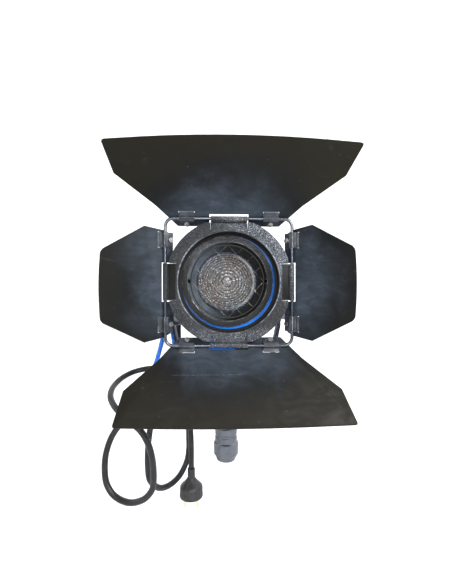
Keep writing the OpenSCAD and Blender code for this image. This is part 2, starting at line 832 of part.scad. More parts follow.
module swept(line, d, sides, start_side) {
    n = len(line);
    side = carried(line, 0, start_side);
    rings = [for (i = [0:n - 1])
        let (a = max(i - 1, 0), b = min(i + 1, n - 1), t = (line[b] - line[a]) / norm(line[b] - line[a]),
             u0 = side[min(i, n - 2)], u = (u0 - t * (u0 * t)) / norm(u0 - t * (u0 * t)), v = cross_unit(t, u))
        for (k = [0:sides - 1]) line[i] + d / 2 * (cos(360 * k / sides) * u + sin(360 * k / sides) * v)];
    faces = concat(
        [[for (k = [0:sides - 1]) k]],
        [for (i = [0:n - 2], k = [0:sides - 1]) let (k2 = (k + 1) % sides)
            [i * sides + k, (i + 1) * sides + k, (i + 1) * sides + k2, i * sides + k2]],
        [[for (k = [sides - 1:-1:0]) (n - 1) * sides + k]]
    );
    polyhedron(rings, faces, convexity = 10);
}

module power_cable() {
    color("#303030") swept(cable_route, cable_d, 8, [0, 1, 0]);
}

module plug_body() {
    end = cable_route[len(cable_route) - 1];
    color("#1c1c1c") translate(end) rotate([180, 0, 0]) {
        rotate_extrude() polygon([[0, 0], [6, 0], [7.5, 16], [12, 22], [18, 28], [18, 42], [17, 44], [0, 44]]);
    }
}

module plug_pins() {
    end = cable_route[len(cable_route) - 1];
    color("gold") translate(end) rotate([180, 0, 0]) for (x = [-9.5, 9.5])
        translate([x, 0, 44]) {
            cylinder(h = 17, r = 2.4);
            translate([0, 0, 17 - overlap]) cylinder(h = 1.5, r = 1.8);
        }
}

module cable_sling() {
    color(blue) swept(sling_route, sling_d, 8, [1, 0, 0]);
}

module sling_knot() {
    a = sling_route[0];
    b = sling_route[len(sling_route) - 1];
    color(blue) translate((a + b) / 2) sphere(7.2, $fn = 24);
}

receiver();
receiver_bolt();
receiver_screw();
yoke();
tilt_knob();
housing();
vent_cover();
rear_casting();
base_box();
housing_screws();
pivot_bosses();
pivot_nut();
gland_boss();
cable_gland();
guide_rods();
door_knuckles();
lamp_carriage();
lamp_socket();
lamp();
reflector();
focus_spindle();
focus_knob_front();
focus_knob_rear();
front_casting();
lens_ring();
lens();
lens_clips();
wire_guard();
accessory_brackets();
door_hinge();
latch_mount();
accessory_latch();
barndoor_ring();
barndoor_collar();
wire_frame();
leaf_top();
leaf_top_clips();
leaf_top_screws();
leaf_bottom();
leaf_bottom_clips();
leaf_bottom_screws();
leaf_left();
leaf_left_clips();
leaf_left_screws();
leaf_right();
leaf_right_clips();
leaf_right_screws();
power_cable();
plug_body();
plug_pins();
cable_sling();
sling_knot();
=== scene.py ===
"""The looks of a fresnel spotlight on a yoke: cords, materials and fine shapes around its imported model."""
import json
import math

import bmesh
import bpy
from mathutils import Matrix, Vector


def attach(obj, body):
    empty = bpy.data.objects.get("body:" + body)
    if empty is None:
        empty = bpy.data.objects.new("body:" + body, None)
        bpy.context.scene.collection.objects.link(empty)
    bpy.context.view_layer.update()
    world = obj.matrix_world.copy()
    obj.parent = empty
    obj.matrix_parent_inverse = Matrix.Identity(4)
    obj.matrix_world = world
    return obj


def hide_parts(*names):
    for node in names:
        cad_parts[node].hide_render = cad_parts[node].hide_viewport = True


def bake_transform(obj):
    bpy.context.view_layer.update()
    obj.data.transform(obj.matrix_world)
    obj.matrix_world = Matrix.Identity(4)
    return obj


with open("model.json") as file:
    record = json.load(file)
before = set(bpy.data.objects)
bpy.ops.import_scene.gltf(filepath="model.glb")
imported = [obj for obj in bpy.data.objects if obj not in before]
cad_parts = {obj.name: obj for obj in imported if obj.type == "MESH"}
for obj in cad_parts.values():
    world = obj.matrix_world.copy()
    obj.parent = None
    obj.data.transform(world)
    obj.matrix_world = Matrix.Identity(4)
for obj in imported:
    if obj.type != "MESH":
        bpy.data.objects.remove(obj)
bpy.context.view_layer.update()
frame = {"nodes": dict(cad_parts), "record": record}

# ---------------------------------------------------------------- sizes, in metres

LENS_AXIS = Vector((0, 0, 0.257))
FORWARD = (0, 1, 0)
UP = (0, 0, 1)

# The lens assembly sits a little off centre in the front casting
SEAT = Vector((-0.0011, 0, 0.2584))
LENS_R = 0.040
LENS_FACE_Y = -0.067
LENS_BACK_Y = -0.0605
LENS_STEPS = 11
# A step's radius grows with this power of its number
LENS_POWER = 0.72
LENS_EDGE = 0.0006
# Where the lens ring's smooth cone ends, and how far aside its two recesses are
CONE_R = 0.0482
RECESS_AT = 0.0474

GUARD_Y = -0.0818
GUARD_R = 0.0452
GUARD_PITCH = 0.016
GUARD_WIRE_R = 0.0002
GUARD_RIM_R = 0.0007

# The barndoor: its ring's inner edge, which carries a painted highlight, the smooth panels of painted shade
# on its side tabs, the roots of its top and bottom tabs, which carry a painted shade line, its collar's
# front edge, which carries a painted highlight, and a scratch on a leaf
RING_INNER_R = 0.0605
PANEL_AT = 0.0672
PANEL_HALF = 0.0042
TAB_HALF = 0.0200
TAB_ROOT_AT = 0.0706
COLLAR_EDGE_Y = -0.1000
SCRATCH_Z = 0.1500

GLAND_TOP = Vector((-0.066, 0.062, 0.246))
GLAND_TILT = math.radians(15)
GLAND_LENGTH = 0.026
GLAND_RIBS = 9

CABLE_D = 0.0085
SLING_D = 0.0065
SLING_SIDES = 16

# The mains cable's middle, from the gland to the plug
CABLE_ROUTE = [
    (-0.0728, 0.062, 0.2205), (-0.0744, 0.062, 0.2145), (-0.076, 0.062, 0.198), (-0.076, 0.061, 0.178),
    (-0.075, 0.06, 0.155), (-0.072, 0.058, 0.128), (-0.068, 0.054, 0.098), (-0.063, 0.05, 0.066),
    (-0.059, 0.046, 0.038), (-0.058, 0.042, 0.014), (-0.058, 0.042, -0.004), (-0.061, 0.038, -0.022),
    (-0.071, 0.026, -0.038), (-0.084, 0.01, -0.043), (-0.097, -0.006, -0.038), (-0.107, -0.018, -0.022),
    (-0.11, -0.022, -0.004), (-0.11, -0.022, 0.028), (-0.106, -0.019, 0.062), (-0.1, -0.012, 0.09),
    (-0.094, 0.0, 0.11), (-0.092, 0.017, 0.119), (-0.097, 0.036, 0.122), (-0.11, 0.049, 0.123),
    (-0.128, 0.054, 0.121), (-0.147, 0.05, 0.117), (-0.16, 0.036, 0.112), (-0.166, 0.017, 0.107),
    (-0.166, -0.004, 0.103), (-0.161, -0.024, 0.097), (-0.149, -0.041, 0.089), (-0.132, -0.051, 0.078),
    (-0.114, -0.054, 0.064), (-0.104, -0.052, 0.045), (-0.099, -0.049, 0.022), (-0.098, -0.047, -0.003),
    (-0.101, -0.044, -0.02), (-0.113, -0.041, -0.034), (-0.133, -0.037, -0.04), (-0.153, -0.032, -0.034),
    (-0.165, -0.028, -0.02), (-0.169, -0.025, -0.002), (-0.168, -0.023, 0.02), (-0.161, -0.022, 0.042),
    (-0.149, -0.025, 0.06), (-0.135, -0.03, 0.073), (-0.121, -0.034, 0.082), (-0.105, -0.033, 0.09),
    (-0.092, -0.024, 0.097), (-0.084, -0.009, 0.103), (-0.079, 0.007, 0.104), (-0.073, 0.021, 0.098),
    (-0.066, 0.031, 0.086), (-0.06, 0.036, 0.069), (-0.056, 0.035, 0.049), (-0.054, 0.032, 0.026),
    (-0.053, 0.03, 0.002), (-0.053, 0.03, -0.028),
]

# The blue cord's middle, over the tilt knob's neck and under the cable
SLING_ROUTE = [
    (-0.079, 0.005, 0.09), (-0.071, 0.004, 0.095), (-0.067, 0.005, 0.108), (-0.07, 0.008, 0.131),
    (-0.075, 0.01, 0.155), (-0.079, 0.012, 0.178), (-0.083, 0.0132, 0.198), (-0.0845, 0.0138, 0.212),
    (-0.0845, 0.0098, 0.222), (-0.0845, 0.0, 0.226), (-0.0845, -0.0098, 0.222), (-0.085, -0.0138, 0.212),
    (-0.087, -0.0144, 0.196), (-0.091, -0.014, 0.178), (-0.097, -0.012, 0.156), (-0.104, -0.007, 0.134),
    (-0.107, -0.001, 0.115), (-0.103, 0.004, 0.099), (-0.092, 0.006, 0.09),
]


# ---------------------------------------------------------------- camera

FOCAL_LENGTH_MM = 21.45
EYE = (-0.0178, -0.5126, 0.2453)
EYE_TURN = math.radians(-1.98)


def add_camera():
    """Close in front of the lens, level and turned a little to the right."""
    camera = bpy.data.cameras.new("camera")
    camera.lens = FOCAL_LENGTH_MM
    camera.clip_start = 0.01
    eye = bpy.data.objects.new("camera", camera)
    eye.location = EYE
    eye.rotation_euler = (math.radians(90), 0, EYE_TURN)
    bpy.context.collection.objects.link(eye)
    bpy.context.scene.camera = eye


add_camera()


# ---------------------------------------------------------------- mesh helpers

def add_piece(name, vertices, faces, body, material):
    """A new smooth mesh piece that rides on a body, if one is given."""
    mesh = bpy.data.meshes.new(name)
    mesh.from_pydata(vertices, [], faces)
    mesh.materials.append(material)
    mesh.polygons.foreach_set("use_smooth", [True] * len(mesh.polygons))
    mesh.update()
    piece = bpy.data.objects.new(name, mesh)
    bpy.context.collection.objects.link(piece)
    if body:
        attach(piece, body)
    return piece


def smooth_line(points, step):
    """Catmull-Rom curve through the points, cut into lengths of about step."""
    points = [Vector(p) for p in points]
    fine = []
    for i in range(len(points) - 1):
        a, b = points[max(i - 1, 0)], points[i]
        c, d = points[i + 1], points[min(i + 2, len(points) - 1)]
        for k in range(24):
            u = k / 24
            fine.append(0.5 * (2 * b + (c - a) * u + (2 * a - 5 * b + 4 * c - d) * u * u
                               + (3 * b - a - 3 * c + d) * u ** 3))
    fine.append(points[-1])
    reach = [0]
    for a, b in zip(fine, fine[1:]):
        reach.append(reach[-1] + (b - a).length)
    count = max(2, round(reach[-1] / step))
    line, k = [], 0
    for i in range(count + 1):
        goal = reach[-1] * i / count
        while k < len(fine) - 2 and reach[k + 1] < goal:
            k += 1
        share = (goal - reach[k]) / max(reach[k + 1] - reach[k], 1e-9)
        line.append(fine[k].lerp(fine[k + 1], min(max(share, 0), 1)))
    return line, reach[-1]


def tube_mesh(line, radius, sides, closed=False, ripple=None):
    """Vertices and faces of a round tube along line. ripple(i, k) adds to the radius."""
    count = len(line)
    tangents = []
    for i in range(count):
        before = line[i - 1] if i or closed else line[0]
        after = line[(i + 1) % count] if i < count - 1 or closed else line[-1]
        tangents.append((after - before).normalized())
    side = tangents[0].orthogonal().normalized()
    vertices = []
    for i in range(count):
        side = (side - tangents[i] * side.dot(tangents[i])).normalized()
        other = tangents[i].cross(side)
        for k in range(sides):
            angle = 2 * math.pi * k / sides
            r = radius + (ripple(i, k) if ripple else 0)
            vertices.append(line[i] + (side * math.cos(angle) + other * math.sin(angle)) * r)
    faces = []
    for i in range(count if closed else count - 1):
        j = (i + 1) % count
        for k in range(sides):
            n = (k + 1) % sides
            faces.append((i * sides + k, i * sides + n, j * sides + n, j * sides + k))
    if not closed:
        faces.append(tuple(range(sides - 1, -1, -1)))
        faces.append(tuple((count - 1) * sides + k for k in range(sides)))
    return vertices, faces


def lathe_mesh(profile, segments, place, shape=None):
    """Turns (radius, height) points about local z. shape(radius, height, angle) changes the radius."""
    vertices, faces, rings = [], [], []
    for r, z in profile:
        if r < 1e-7:
            rings.append([len(vertices)] * segments)
            vertices.append(place @ Vector((0, 0, z)))
            continue
        ring = []
        for k in range(segments):
            angle = 2 * math.pi * k / segments
            radius = shape(r, z, angle) if shape else r
            ring.append(len(vertices))
            vertices.append(place @ Vector((radius * math.cos(angle), radius * math.sin(angle), z)))
        rings.append(ring)
    for low, high in zip(rings, rings[1:]):
        for k in range(segments):
            n = (k + 1) % segments
            face = []
            for v in (low[k], low[n], high[n], high[k]):
                if v not in face:
                    face.append(v)
            if len(face) > 2:
                faces.append(tuple(face))
    return vertices, faces


def looking_forward(centre):
    """Local z along the beam, local y up."""
    return Matrix.Translation(centre) @ Matrix.Rotation(math.radians(90), 4, "X")


# ---------------------------------------------------------------- materials

class Material:
    """One node material with patterns in object space. Its methods add nodes and return a socket."""

    def __init__(self, name):
        self.material = bpy.data.materials.new(name)
        self.material.use_nodes = True
        self.tree = self.material.node_tree
        self.shader = self.tree.nodes["Principled BSDF"]
        self.place = self.node("ShaderNodeTexCoord").outputs["Object"]
        self.parts = self.node("ShaderNodeSeparateXYZ")
        self.feed(self.parts.inputs[0], self.place)

    def node(self, kind, **settings):
        node = self.tree.nodes.new(kind)
        for key, value in settings.items():
            setattr(node, key, value)
        return node

    def feed(self, socket, value):
        if isinstance(value, bpy.types.NodeSocket):
            self.tree.links.new(value, socket)
        else:
            socket.default_value = value

    def set(self, **values):
        """Sets or links the shader's own inputs, named with underscores."""
        for key, value in values.items():
            self.feed(self.shader.inputs[key.replace("_", " ")], value)

    def math(self, operation, a, b=0.0, clamp=False):
        node = self.node("ShaderNodeMath", operation=operation, use_clamp=clamp)
        self.feed(node.inputs[0], a)
        self.feed(node.inputs[1], b)
        return node.outputs[0]

    def plus(self, a, b, clamp=False):
        return self.math("ADD", a, b, clamp)

    def minus(self, a, b):
        return self.math("SUBTRACT", a, b)

    def times(self, a, b):
        return self.math("MULTIPLY", a, b)

    def largest(self, a, b):
        return self.math("MAXIMUM", a, b)

    def size(self, a):
        return self.math("ABSOLUTE", a)

    def inverse(self, a):
        """1 where a is 0, 0 where it is 1."""
        return self.minus(1.0, a)

    def stretched(self, x, y, z):
        """The place in object space with each coordinate multiplied."""
        node = self.node("ShaderNodeVectorMath", operation="MULTIPLY")
        self.feed(node.inputs[0], self.place)
        node.inputs[1].default_value = (x, y, z)
        return node.outputs[0]

    def noise(self, scale, detail=3.0, roughness=0.55, place=None, distortion=0.0):
        node = self.node("ShaderNodeTexNoise")
        self.feed(node.inputs["Vector"], place or self.place)
        node.inputs["Scale"].default_value = scale
        node.inputs["Detail"].default_value = detail
        node.inputs["Roughness"].default_value = roughness
        node.inputs["Distortion"].default_value = distortion
        return node.outputs["Fac"]

    def cells(self, scale):
        """Distance from the middle of the nearest of many random cells."""
        node = self.node("ShaderNodeTexVoronoi", feature="F1")
        self.feed(node.inputs["Vector"], self.place)
        node.inputs["Scale"].default_value = scale
        return node.outputs["Distance"]

    def spread(self, value, low, high):
        """0 below low, 1 above high, smooth between."""
        node = self.node("ShaderNodeMapRange", interpolation_type="SMOOTHSTEP")
        self.feed(node.inputs["Value"], value)
        node.inputs["From Min"].default_value = low
        node.inputs["From Max"].default_value = high
        return node.outputs["Result"]

    def between(self, value, low, high):
        """low where value is 0, high where it is 1."""
        return self.plus(self.times(value, high - low), low)

    def mix(self, factor, a, b):
        node = self.node("ShaderNodeMix", data_type="RGBA")
        self.feed(node.inputs["Factor"], factor)
        for socket, colour in ((node.inputs[6], a), (node.inputs[7], b)):
            self.feed(socket, colour if isinstance(colour, bpy.types.NodeSocket) else (*colour, 1))
        return node.outputs[2]

    def relief(self, height, distance, strength=1.0):
        """Gives the surface a fine relief and returns the finished material."""
        node = self.node("ShaderNodeBump")
        self.feed(node.inputs["Height"], height)
        node.inputs["Distance"].default_value = distance
        node.inputs["Strength"].default_value = strength
        self.feed(self.shader.inputs["Normal"], node.outputs["Normal"])
        return self.material

    def along(self, axis):
        """One coordinate in object space: 0 for x, 1 for y, 2 for z."""
        return self.parts.outputs[axis]

    def stripe(self, value, middle, half, soft):
        """1 within half of middle, falling to 0 over soft."""
        off = self.size(self.minus(value, middle))
        return self.inverse(self.spread(off, half, half + soft))

    def from_axis(self, centre, axis):
        """Distance from a line through centre along axis (a unit vector along X, Y or Z)."""
        shift = self.node("ShaderNodeVectorMath", operation="SUBTRACT")
        self.feed(shift.inputs[0], self.place)
        shift.inputs[1].default_value = centre
        flat = self.node("ShaderNodeVectorMath", operation="MULTIPLY")
        self.feed(flat.inputs[0], shift.outputs[0])
        flat.inputs[1].default_value = [1 - abs(a) for a in axis]
        length = self.node("ShaderNodeVectorMath", operation="LENGTH")
        self.feed(length.inputs[0], flat.outputs[0])
        return length.outputs["Value"]


def black_satin():
    """Thin satin paint: a painted bluish sheen close to the lens stands for the light on the leaves; further
    out it is darker and handled, with a brownish tint.
    """
    m = Material("black_satin")
    clouds = m.noise(14, 5, 0.6, distortion=0.6)
    smears = m.noise(26, 6, 0.65, m.stretched(1, 1, 2.2), 1.2)
    radius = m.from_axis(LENS_AXIS, FORWARD)
    wander = m.plus(radius, m.between(clouds, -0.040, 0.040))
    # Painted sheen: a streaky bluish sheen close to the lens stands for the light falling on the leaves,
    # fading to the dark paint further out.
    sheen_near_lens = m.inverse(m.spread(wander, 0.086, 0.130))
    wipes = m.spread(m.noise(17, 5, 0.62, m.stretched(1.0, 1.0, 2.6), 2.2), 0.44, 0.60)
    sheen_near_lens = m.times(sheen_near_lens, m.between(wipes, 1.0, 0.70))
    brown = m.spread(m.plus(radius, m.between(clouds, -0.02, 0.02)), 0.12, 0.16)
    base = m.mix(brown, (0.0060, 0.0066, 0.0070), (0.0085, 0.0076, 0.0046))
    painted_sheen = m.mix(m.spread(smears, 0.3, 0.75), (0.021, 0.028, 0.038), (0.038, 0.049, 0.066))
    colour = m.mix(sheen_near_lens, base, painted_sheen)
    rubs = m.times(m.spread(smears, 0.60, 0.74), 0.12)
    colour = m.mix(rubs, colour, (0.095, 0.10, 0.11))
    specks = m.spread(m.noise(420, 2), 0.72, 0.79)
    colour = m.mix(m.times(specks, 0.35), colour, (0.16, 0.16, 0.16))
    height = m.plus(m.along(2), m.between(m.noise(60, 2), -0.0006, 0.0006))
    level = m.stripe(height, SCRATCH_Z, 0.0001, 0.0005)
    scratch = m.times(level, m.stripe(m.along(0), -0.024, 0.038, 0.006))
    broken = m.times(scratch, m.spread(m.noise(500, 3), 0.36, 0.6))
    colour = m.mix(m.times(broken, 0.3), colour, (0.12, 0.14, 0.17))
    m.set(Base_Color=colour, Specular_IOR_Level=0.10)
    m.set(Roughness=m.between(m.spread(smears, 0.3, 0.7), 0.42, 0.6))
    grain = m.plus(m.noise(1500, 2), m.times(m.noise(45, 3), 3.0))
    return m.relief(grain, 0.00012, 0.6)


def worn_edge(name, paint, metal, share):
    """Paint rubbed through to metal in places, for bevelled edges."""
    m = Material(name)
    brightened = m.spread(m.noise(160, 4, 0.7), 1 - share, 1 - share + 0.14)
    m.set(Base_Color=m.mix(brightened, paint, metal), Roughness=m.between(m.noise(300, 3), 0.3, 0.55))
    m.set(Metallic=m.times(brightened, 0.7))
    return m.relief(m.noise(900, 2), 0.0001, 0.5)


def black_wrinkle():
    """Fine wrinkle paint, with painted light towards the upper right and the bottom, and painted highlights
    on its fold crests there and along the ring's inner edge; the side tabs carry smooth panels of painted
    shade, and the roots of the top and bottom tabs a painted shade line.
    """
    m = Material("black_wrinkle")
    folds = m.plus(m.cells(1050), m.times(m.noise(1700, 3, 0.6), 0.8))
    across, high = m.along(0), m.minus(m.along(2), LENS_AXIS.z)
    aside, apart = m.size(across), m.size(high)
    # Painted shade: smooth near-black panels on the side tabs, and a line at the roots of the top and bottom
    # tabs, where the tabs turn back from the light.
    panel = m.stripe(aside, PANEL_AT, PANEL_HALF, 0.0004)
    panel = m.times(panel, m.stripe(apart, 0.0, TAB_HALF, 0.0005))
    root = m.stripe(high, TAB_ROOT_AT, 0.0008, 0.0004)
    root = m.times(root, m.stripe(aside, 0.0, TAB_HALF, 0.0005))
    smooth = m.largest(panel, root)
    patches = m.spread(m.noise(22, 4), 0.36, 0.66)
    # Painted light: the paint is lighter, in patches, and its fold crests bright towards the upper right and
    # the bottom.
    below = m.times(m.spread(high, -0.045, -0.066), 0.36)
    lit = m.largest(m.times(m.spread(m.plus(across, high), 0.026, 0.085), 0.8), below)
    lit_patches = m.times(m.between(lit, 0.18, 1.0), m.between(patches, 0.5, 1.0))
    highlit_tops = m.times(m.spread(folds, 1.0, 1.20), lit_patches)
    # Painted highlight: a bright broken line along the ring's inner edge.
    rim = m.stripe(m.from_axis(LENS_AXIS, FORWARD), RING_INNER_R, 0.0004, 0.0004)
    brightened = m.times(rim, m.spread(aside, 0.028, 0.050))
    marks = m.spread(m.noise(240, 3), 0.4, 0.6)
    highlit_tops = m.largest(highlit_tops, m.times(brightened, m.between(marks, 0.1, 0.5)))
    base = m.mix(lit_patches, (0.0065, 0.0072, 0.0080), (0.040, 0.047, 0.058))
    colour = m.mix(highlit_tops, base, (0.42, 0.45, 0.50))
    m.set(Base_Color=m.mix(smooth, colour, (0.0035, 0.0035, 0.0035)))
    m.set(Roughness=m.between(highlit_tops, 0.58, 0.34), Specular_IOR_Level=0.25)
    return m.relief(m.times(folds, m.between(smooth, 1.0, 0.1)), 0.0003, 1.0)


def collar_black():
    """Black wall inside the barndoor's ring, with a painted highlight along its front edge."""
    m = Material("collar_black")
    # Painted highlight: a bright broken line along the collar's front edge.
    edge = m.spread(m.times(m.along(1), -1.0), -COLLAR_EDGE_Y - 0.0005, -COLLAR_EDGE_Y)
    marks = m.spread(m.noise(500, 3, 0.6), 0.45, 0.65)
    colour = m.mix(m.times(marks, 0.5), (0.0045, 0.0045, 0.0045), (0.016, 0.016, 0.017))
    m.set(Base_Color=m.mix(m.times(edge, m.between(marks, 0.4, 1.0)), colour, (0.16, 0.17, 0.19)))
    m.set(Roughness=0.5, Specular_IOR_Level=0.2)
    return m.relief(m.noise(900, 3), 0.0002, 0.7)


def lens_ring_black():
    """Wrinkle paint on the front rim, painted lighter towards the top with painted highlights on its fold
    crests; smooth paint on the cone with a patchy painted sheen on its left side; painted shade in its two
    recesses.
    """
    m = Material("lens_ring_black")
    radius = m.from_axis(SEAT, FORWARD)
    across = m.minus(m.along(0), SEAT.x)
    high = m.minus(m.along(2), SEAT.z)
    rim = m.spread(radius, CONE_R, CONE_R + 0.0005)
    folds = m.plus(m.cells(1100), m.times(m.noise(1800, 3, 0.6), 0.7))
    patches = m.spread(m.noise(40, 4, 0.6), 0.36, 0.72)
    # Painted light: the rim's paint is lighter, and its fold crests bright, towards the top.
    upper = m.spread(high, 0.010, 0.045)
    highlit_tops = m.times(m.spread(folds, 0.96, 1.14), m.times(rim, m.between(upper, 0.15, 0.9)))
    base = m.mix(upper, (0.0055, 0.0056, 0.0056), (0.020, 0.021, 0.023))
    # Painted sheen: a patchy bluish sheen on the cone's left side, where the light from the right falls on
    # it.
    paler_patches = m.times(m.spread(across, 0.006, -0.030), m.between(patches, 0.5, 1.0))
    cone = m.mix(paler_patches, (0.0045, 0.0045, 0.0045), (0.085, 0.105, 0.125))
    front = m.mix(m.times(highlit_tops, 0.8), base, (0.22, 0.23, 0.25))
    colour = m.mix(rim, cone, front)
    # Painted shade: the two recesses are near black, with no reflection.
    reach = m.minus(m.size(across), RECESS_AT)
    diamond = m.plus(m.size(reach), m.times(m.size(high), 0.56))
    recess = m.inverse(m.spread(diamond, 0.0019, 0.0023))
    m.set(Base_Color=m.mix(recess, colour, (0.0008, 0.0008, 0.0008)))
    m.set(Roughness=m.between(rim, 0.36, 0.5))
    m.set(Specular_IOR_Level=m.between(recess, 0.3, 0.0))
    return m.relief(m.times(folds, m.between(rim, 0.05, 1.0)), 0.00025, 1.0)


def blue_paint():
    m = Material("blue_paint")
    grime = m.spread(m.noise(24, 5, 0.6), 0.45, 0.8)
    colour = m.mix(grime, (0.003, 0.160, 0.68), (0.003, 0.115, 0.47))
    scuffs = m.times(m.spread(m.noise(70, 6, 0.7, m.stretched(1, 4, 1), 1.0), 0.66, 0.78), 0.5)
    m.set(Base_Color=m.mix(scuffs, colour, (0.16, 0.36, 0.74)), Specular_IOR_Level=0.35)
    m.set(Roughness=m.between(grime, 0.28, 0.45), Coat_Weight=0.25, Coat_Roughness=0.12)
    return m.relief(m.noise(260, 2), 0.00015, 0.35)


def clip_grey():
    """Pressed clips on the rods: a paler grey than the leaves, a lit copy of their black paint that stands
    in for the light catching the clips' faces.
    """
    m = Material("clip_grey")
    wear = m.spread(m.noise(90, 5, 0.65), 0.35, 0.7)
    m.set(Base_Color=m.mix(wear, (0.014, 0.017, 0.022), (0.048, 0.055, 0.068)), Specular_IOR_Level=0.3)
    m.set(Roughness=m.between(wear, 0.5, 0.36))
    return m.relief(m.noise(1200, 2), 0.0001, 0.5)


def grey_paint():
    m = Material("grey_paint")
    grime = m.spread(m.noise(18, 5, 0.6), 0.4, 0.8)
    colour = m.mix(grime, (0.16, 0.17, 0.19), (0.105, 0.11, 0.12))
    m.set(Base_Color=colour, Roughness=m.between(m.noise(40, 4), 0.38, 0.55), Metallic=0.25)
    return m.relief(m.noise(1300, 2), 0.00012, 0.5)


def turned_steel(name, axis, tone, roughness):
    """Steel with fine marks round its axis."""
    m = Material(name)
    squeeze = [260 if a else 6 for a in axis]
    marks = m.noise(6, 4, 0.65, m.stretched(*squeeze))
    stain = m.spread(m.noise(55, 5, 0.6), 0.4, 0.8)
    dark = [0.55 * c for c in tone]
    m.set(Base_Color=m.mix(m.times(stain, 0.7), tone, dark), Metallic=0.85)
    m.set(Roughness=m.between(marks, roughness - 0.06, roughness + 0.10))
    return m.relief(marks, 0.00006, 0.7)


def guard_wire():
    """Bright wires, welded to a ring that is black from the heat."""
    m = Material("dark_wire")
    sooty = m.spread(m.from_axis(SEAT, FORWARD), GUARD_R - 0.0016, GUARD_R - 0.0010)
    stain = m.spread(m.noise(180, 4), 0.40, 0.66)
    colour = m.mix(stain, (0.26, 0.26, 0.25), (0.045, 0.043, 0.040))
    m.set(Base_Color=m.mix(sooty, colour, (0.012, 0.012, 0.012)))
    m.set(Roughness=m.between(stain, 0.28, 0.45), Metallic=m.between(sooty, 0.9, 0.1))
    return m.relief(m.noise(2000, 2), 0.00003, 0.5)


def knob_plastic():
    m = Material("knob_plastic")
    wear = m.spread(m.noise(60, 5, 0.6), 0.5, 0.8)
    m.set(Base_Color=m.mix(wear, (0.012, 0.012, 0.013), (0.035, 0.035, 0.036)))
    m.set(Roughness=m.between(wear, 0.5, 0.36))
    return m.relief(m.noise(1800, 2), 0.0001, 0.5)


def cable_rubber():
    m = Material("cable_rubber")
    paler_patches = m.spread(m.noise(70, 5, 0.65), 0.4, 0.8)
    colour = m.mix(paler_patches, (0.0085, 0.0085, 0.0095), (0.026, 0.026, 0.029))
    scrape = m.times(m.spread(m.noise(210, 4, 0.7), 0.66, 0.76), 0.4)
    m.set(Base_Color=m.mix(scrape, colour, (0.09, 0.09, 0.10)))
    m.set(Roughness=m.between(paler_patches, 0.36, 0.6), Specular_IOR_Level=0.3)
    return m.relief(m.noise(900, 3), 0.00012, 0.5)


def blue_cord():
    m = Material("blue_cord")
    strands = m.noise(380, 3)
    m.set(Base_Color=m.mix(m.spread(strands, 0.35, 0.7), (0.003, 0.09, 0.45), (0.010, 0.19, 0.78)))
    m.set(Roughness=0.62, Sheen_Weight=0.3)
    return m.relief(strands, 0.0003, 0.8)


def lens_glass():
    """Pressed glass, stepped in front and pebbled behind: it scatters greys and browns, with painted shade
    on its step risers, painted glints on its pebbles and a painted highlight arc on its right side.
    """
    m = Material("lens_glass")
    radius = m.from_axis(SEAT, FORWARD)
    zone = m.times(m.math("POWER", m.math("DIVIDE", radius, LENS_R), 1 / LENS_POWER), LENS_STEPS)
    step = m.math("FRACT", zone)
    riser = m.plus(m.spread(step, 0.52, 0.80), m.inverse(m.spread(step, 0.0, 0.20)), True)
    pebbles = m.cells(430)
    fine = m.noise(900, 3, 0.65)
    glint = m.times(m.inverse(m.spread(pebbles, 0.14, 0.46)), m.spread(fine, 0.44, 0.56))
    tint = m.spread(m.noise(24, 4, 0.6), 0.40, 0.62)
    grey = m.mix(tint, (0.130, 0.148, 0.165), (0.155, 0.125, 0.108))
    colour = m.mix(m.times(m.spread(fine, 0.48, 0.62), 0.75), grey, (0.018, 0.019, 0.022))
    # Painted shade: dark rings on the step risers.
    colour = m.mix(m.times(riser, 0.85), colour, (0.012, 0.012, 0.014))
    colour = m.mix(m.times(glint, m.between(riser, 1.0, 0.22)), colour, (0.94, 0.97, 1.0))
    # Painted highlight: a bright broken arc close to the lens edge, on its right side.
    rightward = m.spread(m.minus(m.along(0), SEAT.x), 0.004, 0.026)
    arc = m.stripe(radius, 0.0343, 0.0007, 0.0007)
    bright = m.times(rightward, m.between(m.spread(fine, 0.4, 0.6), 0.25, 0.75))
    colour = m.mix(m.times(arc, bright), colour, (0.62, 0.66, 0.70))
    edge = m.spread(radius, 0.0366, 0.0376)
    colour = m.mix(m.times(edge, 0.95), colour, (0.006, 0.016, 0.050))
    m.set(Base_Color=colour, Roughness=0.14, IOR=1.5, Transmission_Weight=0.1)
    m.set(Metallic=0.0, Coat_Weight=0.3, Coat_Roughness=0.05)
    return m.relief(m.plus(pebbles, m.times(fine, 0.5)), 0.0007, 1.0)


def lamp_glass():
    m = Material("lamp_glass")
    m.set(Base_Color=(0.93, 0.95, 0.96, 1), Roughness=0.05, IOR=1.46, Transmission_Weight=0.9)
    return m.relief(m.noise(90, 2), 0.0002, 0.2)


def ceramic():
    m = Material("ceramic")
    stain = m.spread(m.noise(120, 4), 0.45, 0.8)
    m.set(Base_Color=m.mix(stain, (0.72, 0.68, 0.60), (0.50, 0.44, 0.36)), Roughness=0.7)
    return m.relief(m.noise(1200, 3), 0.00015, 0.6)


def bare_aluminium():
    m = Material("bare_aluminium")
    marks = m.noise(8, 4, 0.6, m.stretched(8, 300, 8))
    m.set(Base_Color=m.mix(marks, (0.50, 0.50, 0.51), (0.68, 0.68, 0.69)), Metallic=0.9)
    m.set(Roughness=m.between(marks, 0.3, 0.45))
    return m.relief(marks, 0.00006, 0.6)


def reflector_metal():
    m = Material("reflector_metal")
    peen = m.cells(420)
    m.set(Base_Color=m.mix(peen, (0.88, 0.88, 0.89), (0.76, 0.77, 0.79)), Metallic=1.0, Roughness=0.12)
    return m.relief(peen, 0.0003, 0.5)


